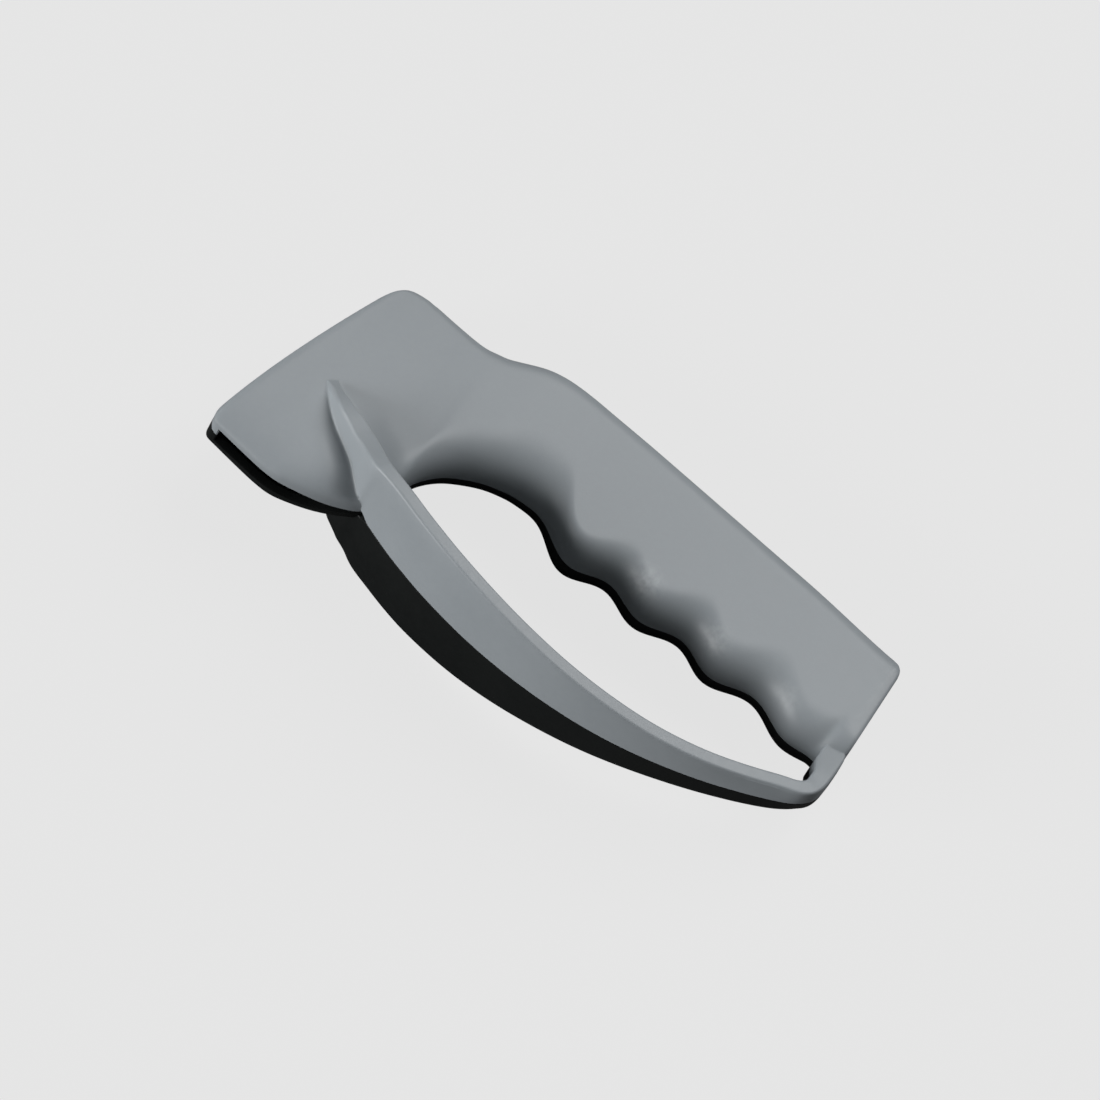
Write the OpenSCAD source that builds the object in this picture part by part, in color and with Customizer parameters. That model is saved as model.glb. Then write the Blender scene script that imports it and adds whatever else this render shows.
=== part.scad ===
// Pull through knife sharpener: a hand grip with a finger guard, and a hollow head
// that a blade is drawn through, past two crossed cutters.
// It lies on its dark side, as it would on a table: +X runs from head to butt,
// +Y towards the straight back, +Z up, with the origin under the middle.

/* [Overall size] */
// length from the head's front edge to the butt
tool_length = 160; // [130:1:190]
// half of the grip's thickness
grip_half = 9.5; // [8.5:0.1:10.5]
// angle that the tool leans to its back when it lies down
lean_angle = 10.75; // [9:0.25:12]

/* [Shells] */
// thickness of the moulded walls
wall = 2; // [1.6:0.1:2.2]
// thickness of the guard and of the fin
guard_wall = 3.5; // [2.8:0.1:4.2]
// rounding of the guard's rim
rim_round = 0.7; // [0.4:0.1:1]
// lean of the guard's faces away from the joint, as a share of its half width
draft_share = 0.045; // [0.02:0.005:0.08]
// thickness of the dark lip round the front edge
lip_wall = 0.95; // [0.7:0.05:1.2]
// how far the lip's top stays below the face
lip_drop = 0.9; // [0.5:0.1:1.5]

/* [Blade channel] */
// half height of the mouth at its widest
mouth_half = 2.65; // [2:0.05:2.8]
// half height of the slot where the blade's tip comes out
exit_half = 2.6; // [2:0.1:2.8]
// where the mouth begins behind the front edge
mouth_start = 3.2; // [2.8:0.1:4]
// where the mouth ends beside the fin
mouth_end = 36; // [33:0.5:37]
// how far the mouth is cut in, to reach the hollow
mouth_reach = 8; // [7.6:0.1:9]

/* [Cutters] */
// length of one cutter
cutter_length = 14; // [12:0.5:16]
// width of one cutter
cutter_width = 2.4; // [2:0.1:2.8]
// thickness of one cutter
cutter_thickness = 2.4; // [2:0.1:2.8]
// half of the angle between the two cutters
cutter_angle = 20; // [16:1:22]
// how far the cutters' crossing sits behind the front edge
cutter_cross_x = 31; // [30:0.5:32]
// how far the first cutter sits in from the mouth
cutter_depth = 11; // [10:0.5:12]
// space between the two cutters
cutter_spacing = 1.2; // [0.8:0.1:2]
// share of a cutter's length that lies in front of the crossing
cutter_front_share = 0.6; // [0.5:0.05:0.65]
// half height of the holder
holder_half = 4.3; // [4:0.1:4.4]
// width of the holder along the grip
holder_width = 10; // [9:0.5:11]
// depth of the notch that the blade's edge passes in
notch_depth = 4.5; // [3.5:0.5:5]
// half height of that notch
notch_half = 1.6; // [1.2:0.1:1.8]
// holder left beyond each cutter
holder_cheek = 1.6; // [1.2:0.1:2]

/* [Screws] */
// radius of a screw's shank
screw_radius = 1.4; // [1.2:0.1:1.6]
// radius of a screw's head
screw_head_radius = 2.7; // [2.4:0.1:2.9]
// height of a screw's head
screw_head_height = 1.8; // [1.4:0.1:2.2]
// length of the shank on each side of the joint
screw_reach = 5.8; // [5:0.1:6.4]
// radius of the driver recess
driver_radius = 1.3; // [1:0.1:1.5]
// depth of the driver recess
driver_depth = 1; // [0.6:0.1:1.2]

/* [Fits] */
// clearance between pieces that are fitted together
clearance = 0.05; // [0.02:0.01:0.1]
// wall left round a screw's hole
boss_wall = 1.5; // [1.2:0.1:1.8]
// thickness of the webs beside a screw boss
web_wall = 1.4; // [1:0.1:1.8]
// length of those webs
web_length = 8; // [6:0.5:10]

/* [Hidden] */
overrun = 1;
roll_steps = 8;
back_steps = 4;
track_steps = 2;
grip_stations = 40;
circle_facets = 24;

// Stations of the head, front edge first. Each is a line over the face, from the
// edge that faces the blade or the fingers to the back edge: its two ends as shares
// of the length, then the edge height, the roll, the thickness and the back rounding
// as shares of the grip's half thickness, then the bow of the line.
head_shares = [
    [-0.001, 0.009, 0.055, 0.331, 0.29, 2.5, 0.63, 0.10, 0.0055],
    [0.005, 0.001, 0.064, 0.351, 0.39, 2.5, 0.74, 0.14, 0.005],
    [0.025, 0, 0.079, 0.368, 0.41, 2.5, 0.76, 0.20, 0.004],
    [0.075, 0, 0.103, 0.374, 0.43, 2.4, 0.80, 0.25, 0.002],
    [0.1375, 0, 0.128, 0.375, 0.43, 2.2, 0.84, 0.30, 0],
    [0.1875, 0.0125, 0.153, 0.3745, 0.35, 1.9, 0.87, 0.34, 0],
    [0.225, 0.035, 0.178, 0.374, 0.18, 1.6, 0.90, 0.36, 0],
    [0.250, 0.060, 0.200, 0.374, 0.08, 1.5, 0.93, 0.38, 0],
    [0.262, 0.091, 0.2175, 0.376, 0.05, 1.5, 0.95, 0.40, 0],
    [0.266, 0.125, 0.233, 0.381, 0.05, 1.45, 0.97, 0.42, 0],
    [0.275, 0.156, 0.250, 0.387, 0.05, 1.4, 0.98, 0.44, 0],
    [0.294, 0.1875, 0.275, 0.4025, 0.05, 1.3, 0.99, 0.46, 0],
    [0.319, 0.211, 0.303, 0.418, 0.05, 1.25, 1, 0.47, 0],
    [0.350, 0.229, 0.3375, 0.4275, 0.05, 1.2, 1, 0.47, 0],
    [0.3875, 0.241, 0.381, 0.431, 0.05, 1.2, 1, 0.47, 0]
];
// Stations of the butt, in the same terms.
butt_shares = [
    [0.950, 0.237, 0.949, 0.427, 0.05, 1.1, 1, 0.45, 0],
    [0.9625, 0.230, 0.9525, 0.4265, 0.05, 0.9, 1, 0.45, 0],
    [0.969, 0.209, 0.9555, 0.4255, 0.05, 0.6, 1, 0.40, 0],
    [0.977, 0.184, 0.959, 0.4225, 0.05, 0.5, 0.97, 0.34, 0],
    [0.9925, 0.166, 0.965, 0.4175, 0.05, 0.5, 0.94, 0.30, 0],
    [0.9985, 0.171, 0.970, 0.406, 0.05, 0.45, 0.84, 0.20, 0]
];
// Turning points of the finger grooves along the grip: place, then edge.
groove_shares = [
    [0.3875, 0.241], [0.425, 0.245], [0.5125, 0.215], [0.575, 0.236],
    [0.6375, 0.2215], [0.706, 0.244], [0.7656, 0.2275], [0.8375, 0.250],
    [0.9125, 0.2306], [0.950, 0.237]
];
// The straight back: place, then edge.
back_shares = [[0.381, 0.431], [0.5, 0.4325], [0.775, 0.432], [0.949, 0.427]];
// The guard's outer line from the fin's tip to the butt: place, edge, half width,
// and the height that it starts at, which is inside the face under the fin.
guard_shares = [
    [0.072, 0.1655, 0.050, 0.040], [0.0855, 0.152, 0.070, 0.041],
    [0.100, 0.1375, 0.081, 0.041], [0.119, 0.118, 0.089, 0.041],
    [0.1455, 0.104, 0.094, 0.042], [0.1745, 0.0915, 0.105, 0.042],
    [0.1995, 0.0765, 0.114, 0.040], [0.222, 0.0655, 0.120, 0.028],
    [0.250, 0.053, 0.120, -0.01], [0.275, 0.0455, 0.118, -0.01],
    [0.3125, 0.035, 0.1165, -0.01], [0.350, 0.027, 0.1165, -0.01],
    [0.400, 0.0188, 0.1145, -0.01], [0.475, 0.0122, 0.108, -0.01],
    [0.550, 0.0125, 0.0975, -0.01], [0.625, 0.0194, 0.085, -0.01],
    [0.700, 0.033, 0.0725, -0.01], [0.775, 0.055, 0.0575, -0.01],
    [0.850, 0.085, 0.045, -0.01], [0.9125, 0.117, 0.035, -0.01],
    [0.956, 0.143, 0.032, -0.01], [0.9925, 0.166, 0.031, -0.01]
];
// The mouth's outline seen from the blade's side: along it, then half height.
mouth_shares = [[0, 1], [0.4, 0.93], [0.7, 0.87], [0.85, 0.7], [0.95, 0.3], [1, -0.1]];
exit_start_share = 0.088;
exit_end_share = 0.206;
screw_shares = [[0.231, 0.194], [0.288, 0.344], [0.613, 0.356], [0.9, 0.352]];
post_share = 0.8;
// Where the bosses and the post end, inside the wall over them.
boss_top = 0.87 * grip_half;
post_top = 0.73 * grip_half;

counterbore_radius = screw_head_radius + 6 * clearance;
boss_radius = screw_radius + boss_wall;
deep_boss_radius = counterbore_radius + boss_wall;
slot_end_x = exit_end_share * tool_length;

// A smooth curve through a list of rows, at place s counted in rows.
function at_row(rows, i) = rows[max(0, min(len(rows) - 1, i))];
function track(rows, s) =
    let (
        i = min(floor(s), len(rows) - 2),
        t = s - i,
        a = at_row(rows, i - 1),
        b = at_row(rows, i),
        c = at_row(rows, i + 1),
        d = at_row(rows, i + 2)
    )
    b + t / 2 * ((c - a) + t * (2 * a - 5 * b + 4 * c - d + t * (3 * b - 3 * c + d - a)));
function track_all(rows, steps) =
    [for (i = [0 : (len(rows) - 1) * steps]) track(rows, i / steps)];

// A line of turning points, with an easy wave from each to the next.
function wave(rows, x, i = 0) =
    x <= rows[i + 1][0] || i == len(rows) - 2
        ? let (
            t = (x - rows[i][0]) / (rows[i + 1][0] - rows[i][0]),
            w = (1 - cos(180 * max(0, min(1, t)))) / 2
        )
        rows[i][1] + w * (rows[i + 1][1] - rows[i][1])
        : wave(rows, x, i + 1);

function grip_row(x) =
    [x, wave(groove_shares, x), x, wave(back_shares, x), 0.05, 1.2, 1, 0.47, 0];
grip_start_share = 0.3875;
grip_end_share = 0.95;
grip_step_share = (grip_end_share - grip_start_share) / grip_stations;
stations = concat(
    track_all(head_shares, track_steps),
    [for (i = [1 : grip_stations - 1]) grip_row(grip_start_share + i * grip_step_share)],
    track_all(butt_shares, track_steps)
);
// The hollow starts behind the front wall and stops before the butt.
hollow_first = 3;
hollow_last = len(stations) - 2 * track_steps * 2 - 1;

// The way that the edge runs at one end (k) of station i.
function edge_run(i, k) =
    let (
        before = at_row(stations, i - 1),
        after = at_row(stations, i + 1),
        run = [after[k] - before[k], after[k + 1] - before[k + 1]]
    )
    run / norm(run);

// The section over the face at station i, with both edges and the face drawn in by inset.
function section(i, inset, base) =
    let (
        row = stations[i],
        low_run = edge_run(i, 0),
        high_run = edge_run(i, 2),
        low = tool_length * [row[0], row[1]] + inset * [-low_run[1], low_run[0]],
        high = tool_length * [row[2], row[3]] + inset * [high_run[1], -high_run[0]],
        line = norm(high - low),
        along = (high - low) / line,
        side = [-along[1], along[0]],
        full = grip_half * row[6] - inset,
        edge = max(grip_half * row[4] - inset, clearance),
        roll = grip_half * row[5] - inset,
        rounding = max(grip_half * row[7] - inset, 5 * clearance),
        profile = concat(
            [[0, base]],
            [
                for (i = [0 : roll_steps])
                    let (angle = 90 * i / roll_steps)
                    [
                        roll - roll * cos(angle),
                        edge + (full - edge) * sin(angle)
                    ]
            ],
            [
                for (i = [0 : back_steps])
                    let (angle = 90 * i / back_steps)
                    [
                        line - rounding + rounding * sin(angle),
                        full - rounding + rounding * cos(angle)
                    ]
            ],
            [[line, base]]
        )
    )
    [
        for (p = profile)
            let (
                t = p[0] / line,
                spot = low + along * p[0] + side * (4 * t * (1 - t) * tool_length * row[8])
            )
            [spot[0], spot[1], p[1]]
    ];

// The section of the guard at place s, square to its line.
function guard_section(s) =
    let (
        here = tool_length * track(guard_shares, s),
        before = tool_length * track(guard_shares, max(0, s - 0.05)),
        after = tool_length * track(guard_shares, min(len(guard_shares) - 1, s + 0.05)),
        run = [after[0] - before[0], after[1] - before[1]],
        inward = [-run[1], run[0]] / norm(run),
        half = here[2],
        lean = draft_share * half,
        profile = [
            [0, here[3]],
            [lean, half - rim_round],
            [lean + rim_round * (1 - cos(45)), half - rim_round * (1 - sin(45))],
            [lean + rim_round, half],
            [lean + guard_wall - rim_round, half],
            [lean + guard_wall - rim_round * (1 - cos(45)), half - rim_round * (1 - sin(45))],
            [lean + guard_wall, half - rim_round],
            [lean + guard_wall, here[3]]
        ]
    )
    [for (p = profile) [here[0] + inward[0] * p[0], here[1] + inward[1] * p[0], p[1]]];

body_sections = [for (i = [0 : len(stations) - 1]) section(i, 0, -overrun)];
hollow_sections =
    [for (i = [hollow_first : 2 : hollow_last]) section(i, wall, -2 * overrun)];
guard_sections =
    [for (i = [0 : (len(guard_shares) - 1) * track_steps]) guard_section(i / track_steps)];

// How the tool lies: the turn, and what brings its box to the origin.
function turned(p) =
    [
        p[0],
        p[1] * cos(lean_angle) + p[2] * sin(lean_angle),
        p[2] * cos(lean_angle) - p[1] * sin(lean_angle)
    ];
outside = [
    for (loop = concat(body_sections, guard_sections))
        for (p = loop)
            for (side = [1, -1]) turned([p[0], p[1], side * max(0, p[2])])
];
function range_middle(k) =
    (min([for (p = outside) p[k]]) + max([for (p = outside) p[k]])) / 2;
rest_shift = [-range_middle(0), -range_middle(1), -min([for (p = outside) p[2]])];

module at_rest() {
    translate(rest_shift)
        rotate([-lean_angle, 0, 0])
            children();
}

// A closed skin over a row of sections.
module skin(sections) {
    count = len(sections[0]);
    last = len(sections) - 1;
    polyhedron(
        points = [for (loop = sections) each loop],
        faces = concat(
            [for (j = [1 : count - 2]) [0, j + 1, j]],
            [for (j = [1 : count - 2]) [last * count, last * count + j, last * count + j + 1]],
            [
                for (i = [0 : last - 1])
                    for (j = [0 : count - 1])
                        let (k = (j + 1) % count)
                        each [
                            [i * count + j, (i + 1) * count + k, (i + 1) * count + j],
                            [i * count + j, i * count + k, (i + 1) * count + k]
                        ]
            ]
        )
    );
}

module half_outside() {
    skin(body_sections);
    skin(guard_sections);
}

// The dark lip that stands round the front edge, grown by the given clearance.
function lip_height(row, d) =
    let (
        edge = grip_half * row[4],
        roll = grip_half * row[5],
        reach = min(1, d / roll)
    )
    edge + (grip_half * row[6] - edge) * sqrt(1 - pow(1 - reach, 2));
module front_lip(grow, out) {
    row = stations[0];
    low = tool_length * [row[0], row[1]];
    high = tool_length * [row[2], row[3]];
    line = norm(high - low);
    along = (high - low) / line;
    side = [-along[1], along[0]];
    skin([
        for (i = [0 : roll_steps])
            let (
                t = i / roll_steps,
                bow = 4 * t * (1 - t) * tool_length * row[8],
                outer = low + along * (t * line) + side * (bow + out),
                inner = low + along * (t * line) + side * (bow - lip_wall - grow),
                top = lip_height(row, t * line) - lip_drop + grow
            )
            [
                [inner[0], inner[1], -overrun],
                [inner[0], inner[1], top],
                [outer[0], outer[1], top],
                [outer[0], outer[1], -overrun]
            ]
    ]);
}

module mouth_cut() {
    span = mouth_end - mouth_start;
    translate([mouth_start, mouth_reach, 0])
        rotate([90, 0, 0])
            linear_extrude(height = mouth_reach + overrun)
                polygon(concat(
                    [[0, -overrun]],
                    [for (p = mouth_shares) [p[0] * span, p[1] * mouth_half]],
                    [[span, -overrun]]
                ));
}

module exit_cut() {
    start = exit_start_share * tool_length;
    reach = head_shares[3][3] * tool_length;
    translate([start, reach - 2 * wall, -overrun])
        cube([slot_end_x - start, 2 * wall + overrun, exit_half + overrun]);
}

module at_screws() {
    for (s = screw_shares)
        translate([s[0] * tool_length, s[1] * tool_length, 0])
            children();
}

// Screw bosses with their webs, and the post that the holder rests on.
module bosses(radius) {
    at_screws() {
        translate([0, 0, -overrun])
            cylinder(h = boss_top + overrun, r = radius, $fn = circle_facets);
        for (side = [-1, 1])
            hull() {
                translate([side * (radius - web_wall), -web_wall / 2, wall])
                    cube([overrun, web_wall, boss_top - wall]);
                translate([side * (radius + web_length / 2), -web_wall / 2, boss_top - wall])
                    cube([overrun, web_wall, wall]);
            }
    }
    translate([
        cutter_cross_x - holder_width * (1 - post_share / 2),
        cutter_depth,
        holder_half
    ])
        cube([
            holder_width * post_share,
            2 * cutter_thickness + cutter_spacing,
            post_top - holder_half
        ]);
}

module half_shell(radius) {
    difference() {
        union() {
            difference() {
                half_outside();
                skin(hollow_sections);
            }
            bosses(radius);
        }
        mouth_cut();
        exit_cut();
        translate([-tool_length, -tool_length, -tool_length])
            cube([3 * tool_length, 3 * tool_length, tool_length]);
    }
}

module upper_shell() {
    color("#8d9296")
        at_rest()
            difference() {
                half_shell(boss_radius);
                front_lip(clearance, overrun);
                at_screws()
                    translate([0, 0, -overrun])
                        cylinder(
                            h = screw_reach + boss_wall / 2 + overrun,
                            r = screw_radius + clearance,
                            $fn = circle_facets
                        );
            }
}

module lower_shell() {
    color("#191c1c")
        at_rest()
            union() {
                mirror([0, 0, 1])
                    difference() {
                        half_shell(deep_boss_radius);
                        at_screws() {
                            translate([0, 0, -overrun])
                                cylinder(
                                    h = grip_half,
                                    r = screw_radius + 2 * clearance,
                                    $fn = circle_facets
                                );
                            translate([0, 0, screw_reach])
                                cylinder(
                                    h = grip_half,
                                    r = counterbore_radius,
                                    $fn = circle_facets
                                );
                        }
                    }
                front_lip(0, -clearance);
            }
}

module cutter_bar(side, grow) {
    length = cutter_length + 2 * grow;
    width = cutter_width + 2 * grow;
    thickness = cutter_thickness + 2 * grow;
    y = side > 0 ? cutter_depth : cutter_depth + cutter_thickness + cutter_spacing;
    translate([cutter_cross_x, y - grow, 0])
        rotate([0, side * cutter_angle, 0])
            translate([-cutter_front_share * cutter_length - grow, 0, -width / 2])
                cube([length, thickness, width]);
}

module cutter_front() {
    color("#b9bcc0")
        at_rest()
            cutter_bar(1, 0);
}

module cutter_rear() {
    color("#b9bcc0")
        at_rest()
            cutter_bar(-1, 0);
}

module cutter_holder() {
    depth = 2 * cutter_thickness + cutter_spacing + 2 * holder_cheek;
    left = cutter_cross_x + cutter_length * (1 - cutter_front_share) - holder_width;
    color("#2a2d2e")
        at_rest()
            difference() {
                translate([left, cutter_depth - holder_cheek, -holder_half])
                    cube([holder_width, depth, 2 * holder_half]);
                translate([left - overrun, cutter_depth - holder_cheek - overrun, -notch_half])
                    cube([notch_depth + overrun, depth + 2 * overrun, 2 * notch_half]);
                cutter_bar(1, clearance);
                cutter_bar(-1, clearance);
            }
}

module case_screw() {
    difference() {
        union() {
            translate([0, 0, -screw_reach])
                cylinder(h = 2 * screw_reach, r = screw_radius, $fn = circle_facets);
            translate([0, 0, -screw_reach - screw_head_height])
                cylinder(h = screw_head_height, r = screw_head_radius, $fn = circle_facets);
        }
        translate([0, 0, -screw_reach - screw_head_height - overrun])
            cylinder(h = driver_depth + overrun, r = driver_radius, $fn = 6);
    }
}

module case_screws() {
    color("#9a9da0")
        at_rest()
            at_screws()
                case_screw();
}

upper_shell();
lower_shell();
cutter_front();
cutter_rear();
cutter_holder();
case_screws();
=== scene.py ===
import bpy
import math
from mathutils import Matrix, Vector
from mathutils.bvhtree import BVHTree


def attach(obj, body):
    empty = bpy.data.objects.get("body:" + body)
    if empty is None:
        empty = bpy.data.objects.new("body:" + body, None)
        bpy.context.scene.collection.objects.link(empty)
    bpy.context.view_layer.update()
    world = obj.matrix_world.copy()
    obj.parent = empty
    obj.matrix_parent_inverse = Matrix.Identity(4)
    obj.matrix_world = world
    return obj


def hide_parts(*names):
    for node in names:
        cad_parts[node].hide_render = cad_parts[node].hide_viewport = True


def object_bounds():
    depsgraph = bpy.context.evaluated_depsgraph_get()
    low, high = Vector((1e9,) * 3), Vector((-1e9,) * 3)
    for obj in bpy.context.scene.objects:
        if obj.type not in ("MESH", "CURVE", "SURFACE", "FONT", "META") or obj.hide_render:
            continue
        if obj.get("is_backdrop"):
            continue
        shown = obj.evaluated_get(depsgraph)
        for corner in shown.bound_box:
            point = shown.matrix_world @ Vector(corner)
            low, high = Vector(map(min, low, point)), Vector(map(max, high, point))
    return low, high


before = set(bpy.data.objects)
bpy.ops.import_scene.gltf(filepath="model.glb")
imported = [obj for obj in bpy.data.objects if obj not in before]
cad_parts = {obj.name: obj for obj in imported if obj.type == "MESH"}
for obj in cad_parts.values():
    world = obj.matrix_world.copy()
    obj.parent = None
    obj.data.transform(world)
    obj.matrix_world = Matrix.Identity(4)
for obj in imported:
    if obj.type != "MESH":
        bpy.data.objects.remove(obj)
cadLow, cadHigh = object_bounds()
print("frame loaded:", len(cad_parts), "CAD nodes")

# The shells are drawn flat, in mm, with the joint between them at height 0, then laid down
# the way the CAD lies: on the rim of the dark guard and on the back edge.
tool = {
    "length": 160.0,
    "gripHalf": 9.5,
    "leanDegrees": 10.75,
    "shift": (-79.8, -34.0144, 21.4374),
    "metre": 0.001,
    "joinDistance": 0.0002,
    "hair": 0.01,
    "smoothDegrees": 32.0,
}

lean = math.radians(tool["leanDegrees"])
layDownMatrix = (
    Matrix.Scale(tool["metre"], 4)
    @ Matrix.Translation(Vector(tool["shift"]))
    @ Matrix.Rotation(-lean, 4, "X")
)


def selectOnly(obj):
    bpy.ops.object.select_all(action="DESELECT")
    obj.select_set(True)
    bpy.context.view_layer.objects.active = obj


def editMesh(obj, mode="VERT"):
    selectOnly(obj)
    bpy.ops.object.mode_set(mode="EDIT")
    bpy.ops.mesh.select_mode(type=mode)
    bpy.ops.mesh.select_all(action="DESELECT")


def leaveEdit():
    bpy.ops.object.mode_set(mode="OBJECT")


def curveAt(rows, s):
    # a smooth curve through the rows, column by column
    i = max(0, min(int(math.floor(s)), len(rows) - 2))
    t = s - i
    a, b = rows[max(0, i - 1)], rows[i]
    c, d = rows[i + 1], rows[min(len(rows) - 1, i + 2)]
    return [
        q + t / 2 * ((r - p) + t * (2 * p - 5 * q + 4 * r - w + t * (3 * q - 3 * r + w - p)))
        for p, q, r, w in zip(a, b, c, d)
    ]


def lineAt(rows, s):
    i = max(0, min(int(math.floor(s)), len(rows) - 2))
    t = s - i
    return [p + t * (q - p) for p, q in zip(rows[i], rows[i + 1])]


def softened(rows, passes):
    for _ in range(passes):
        rows = (
            [rows[0]]
            + [
                [(a + 2 * b + c) / 4 for a, b, c in zip(rows[i - 1], rows[i], rows[i + 1])]
                for i in range(1, len(rows) - 1)
            ]
            + [rows[-1]]
        )
    return rows


def waveAt(points, x):
    # a wave that lies level at each of its points
    i = 0
    while i < len(points) - 2 and x > points[i + 1][0]:
        i += 1
    t = (x - points[i][0]) / (points[i + 1][0] - points[i][0])
    w = (1 - math.cos(math.pi * max(0, min(1, t)))) / 2
    return points[i][1] + w * (points[i + 1][1] - points[i][1])


def easeStep(a, b, x):
    t = max(0.0, min(1.0, (x - a) / (b - a)))
    return t * t * (3 - 2 * t)


shell = {
    "wall": 2.0,
    "chamfer": 0.16,
    "chamferMiddle": 0.25,
    "floorGap": 0.01,
    "leastWall": 0.05,
    "leastRound": 0.25,
    "runRows": 1.5,
    "splitRows": 0.01,
    "headSteps": 11,
    "gripSteps": 150,
    "buttSteps": 9,
    "softenPasses": 14,
    "wallSteps": 3,
    "rollSteps": 26,
    "rollPower": 2.5,
    "rollReach": 1.12,
    "rollCrowd": 1.6,
    "flatSteps": 26,
    "backSteps": 7,
    # shares of the length: the face's low edge and back edge at each station; shares of the
    # half thickness: edge height, roll, thickness, back rounding; then the bow of the line
    "head": [
        (-0.001, 0.009, 0.055, 0.329, 0.29, 2.5, 0.63, 0.10, 0.0055),
        (0.005, 0.000, 0.064, 0.349, 0.39, 2.5, 0.74, 0.14, 0.005),
        (0.025, -0.0020, 0.079, 0.366, 0.41, 2.5, 0.76, 0.20, 0.004),
        (0.075, -0.0046, 0.103, 0.372, 0.43, 2.4, 0.80, 0.25, 0.002),
        (0.106, -0.0054, 0.1155, 0.3725, 0.43, 2.3, 0.82, 0.275, 0.001),
        (0.1375, -0.0018, 0.128, 0.373, 0.43, 2.2, 0.84, 0.30, 0),
        (0.1875, 0.0160, 0.153, 0.3725, 0.29, 1.8, 0.87, 0.34, 0),
        (0.225, 0.0385, 0.178, 0.372, 0.18, 1.6, 0.90, 0.36, 0),
        (0.250, 0.060, 0.200, 0.372, 0.08, 1.5, 0.93, 0.38, 0),
        (0.262, 0.091, 0.2175, 0.374, 0.085, 1.5, 0.95, 0.40, 0),
        (0.266, 0.125, 0.233, 0.379, 0.085, 1.45, 0.97, 0.42, 0),
        (0.275, 0.156, 0.250, 0.385, 0.085, 1.4, 0.98, 0.44, 0),
        (0.294, 0.1855, 0.275, 0.4005, 0.085, 1.3, 0.99, 0.46, 0),
        (0.319, 0.2075, 0.303, 0.416, 0.085, 1.25, 1, 0.47, 0),
        (0.350, 0.2265, 0.3375, 0.4255, 0.085, 1.46, 1, 0.47, 0),
        (0.3875, 0.2405, 0.381, 0.429, 0.085, 1.28, 1, 0.47, 0),
    ],
    "butt": [
        (0.950, 0.2350, 0.949, 0.425, 0.085, 1.2, 1, 0.45, 0),
        (0.9625, 0.2350, 0.9525, 0.4245, 0.085, 0.95, 1, 0.45, 0),
        (0.973, 0.2385, 0.9565, 0.4235, 0.085, 0.8, 1, 0.42, 0),
        (0.983, 0.242, 0.961, 0.4205, 0.085, 0.7, 0.98, 0.36, 0),
        (0.9905, 0.246, 0.9665, 0.4145, 0.085, 0.62, 0.95, 0.30, 0),
        (0.9935, 0.249, 0.970, 0.404, 0.085, 0.55, 0.88, 0.20, 0),
    ],
    "grooves": [
        (0.3875, 0.2405), (0.425, 0.2445), (0.5125, 0.2120), (0.575, 0.2355), (0.6375, 0.2195),
        (0.706, 0.2432), (0.7656, 0.2255), (0.8375, 0.2500), (0.9125, 0.2282), (0.950, 0.2350),
    ],
    # how far the roll reaches: its mean, how it follows the low edge, how far on the low edge
    # is read, which slants the swells, and how long it takes to leave the head's
    "rollMiddle": 0.2386,
    "rollMean": 0.88,
    "rollSwing": 18.0,
    "rollShift": 0.022,
    "rollBlend": 0.075,
    "back": [(0.381, 0.429), (0.5, 0.4305), (0.775, 0.430), (0.949, 0.425)],
    # the mouth and the slot where the blade's tip comes out, in mm along the tool and half
    # their height, and how the mouth fades along its length
    "mouthStart": 3.2,
    "mouthEnd": 40.6,
    "mouthHalf": 2.65,
    "slotStart": 14.08,
    "slotEnd": 32.96,
    "slotHalf": 2.6,
    "mouth": [(0, 1), (0.4, 0.95), (0.6, 0.88), (0.7, 0.74), (0.8, 0.5), (0.9, 0.3), (1, 0.2)],
    # where the hollow inside begins, in mm, and where it stops, in stations of the butt
    "hollowStart": 3.4,
    "hollowStop": 3.2,
}


def rollAt(x):
    # the edge rolls over further in a finger groove than on the swell beside it
    low = waveAt(shell["grooves"], x + shell["rollShift"])
    return shell["rollMean"] + shell["rollSwing"] * (low - shell["rollMiddle"])


def shellRows():
    rows = []
    for i in range((len(shell["head"]) - 1) * shell["headSteps"] + 1):
        rows.append(curveAt(shell["head"], i / shell["headSteps"]))
    start = shell["head"][-1]
    first, last = start[0], shell["butt"][0][0]
    for i in range(1, shell["gripSteps"]):
        x = first + (last - first) * i / shell["gripSteps"]
        roll = rollAt(x)
        roll += (start[5] - roll) * (1 - easeStep(first, first + shell["rollBlend"], x))
        low, high = waveAt(shell["grooves"], x), waveAt(shell["back"], x)
        rows.append([x, low, x, high, start[4], roll, *start[6:]])
    for i in range((len(shell["butt"]) - 1) * shell["buttSteps"] + 1):
        rows.append(curveAt(shell["butt"], i / shell["buttSteps"]))
    return softened(rows, shell["softenPasses"])


def placeOf(rows, column, value):
    # where along the rows a column reaches the value
    for i in range(len(rows) - 1):
        if rows[i][column] <= value <= rows[i + 1][column]:
            return i + (value - rows[i][column]) / (rows[i + 1][column] - rows[i][column])
    return 0


def mouthHeight(x):
    t = (x * tool["length"] - shell["mouthStart"]) / (shell["mouthEnd"] - shell["mouthStart"])
    if t <= 0 or t >= 1:
        return shell["floorGap"]
    points = shell["mouth"]
    i = 0
    while i < len(points) - 2 and t > points[i + 1][0]:
        i += 1
    (a, p), (b, q) = points[i], points[i + 1]
    return max(shell["floorGap"], shell["mouthHalf"] * (p + (q - p) * (t - a) / (b - a)))


def slotHeight(x):
    inside = shell["slotStart"] < x * tool["length"] < shell["slotEnd"]
    return shell["slotHalf"] if inside else shell["floorGap"]


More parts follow.
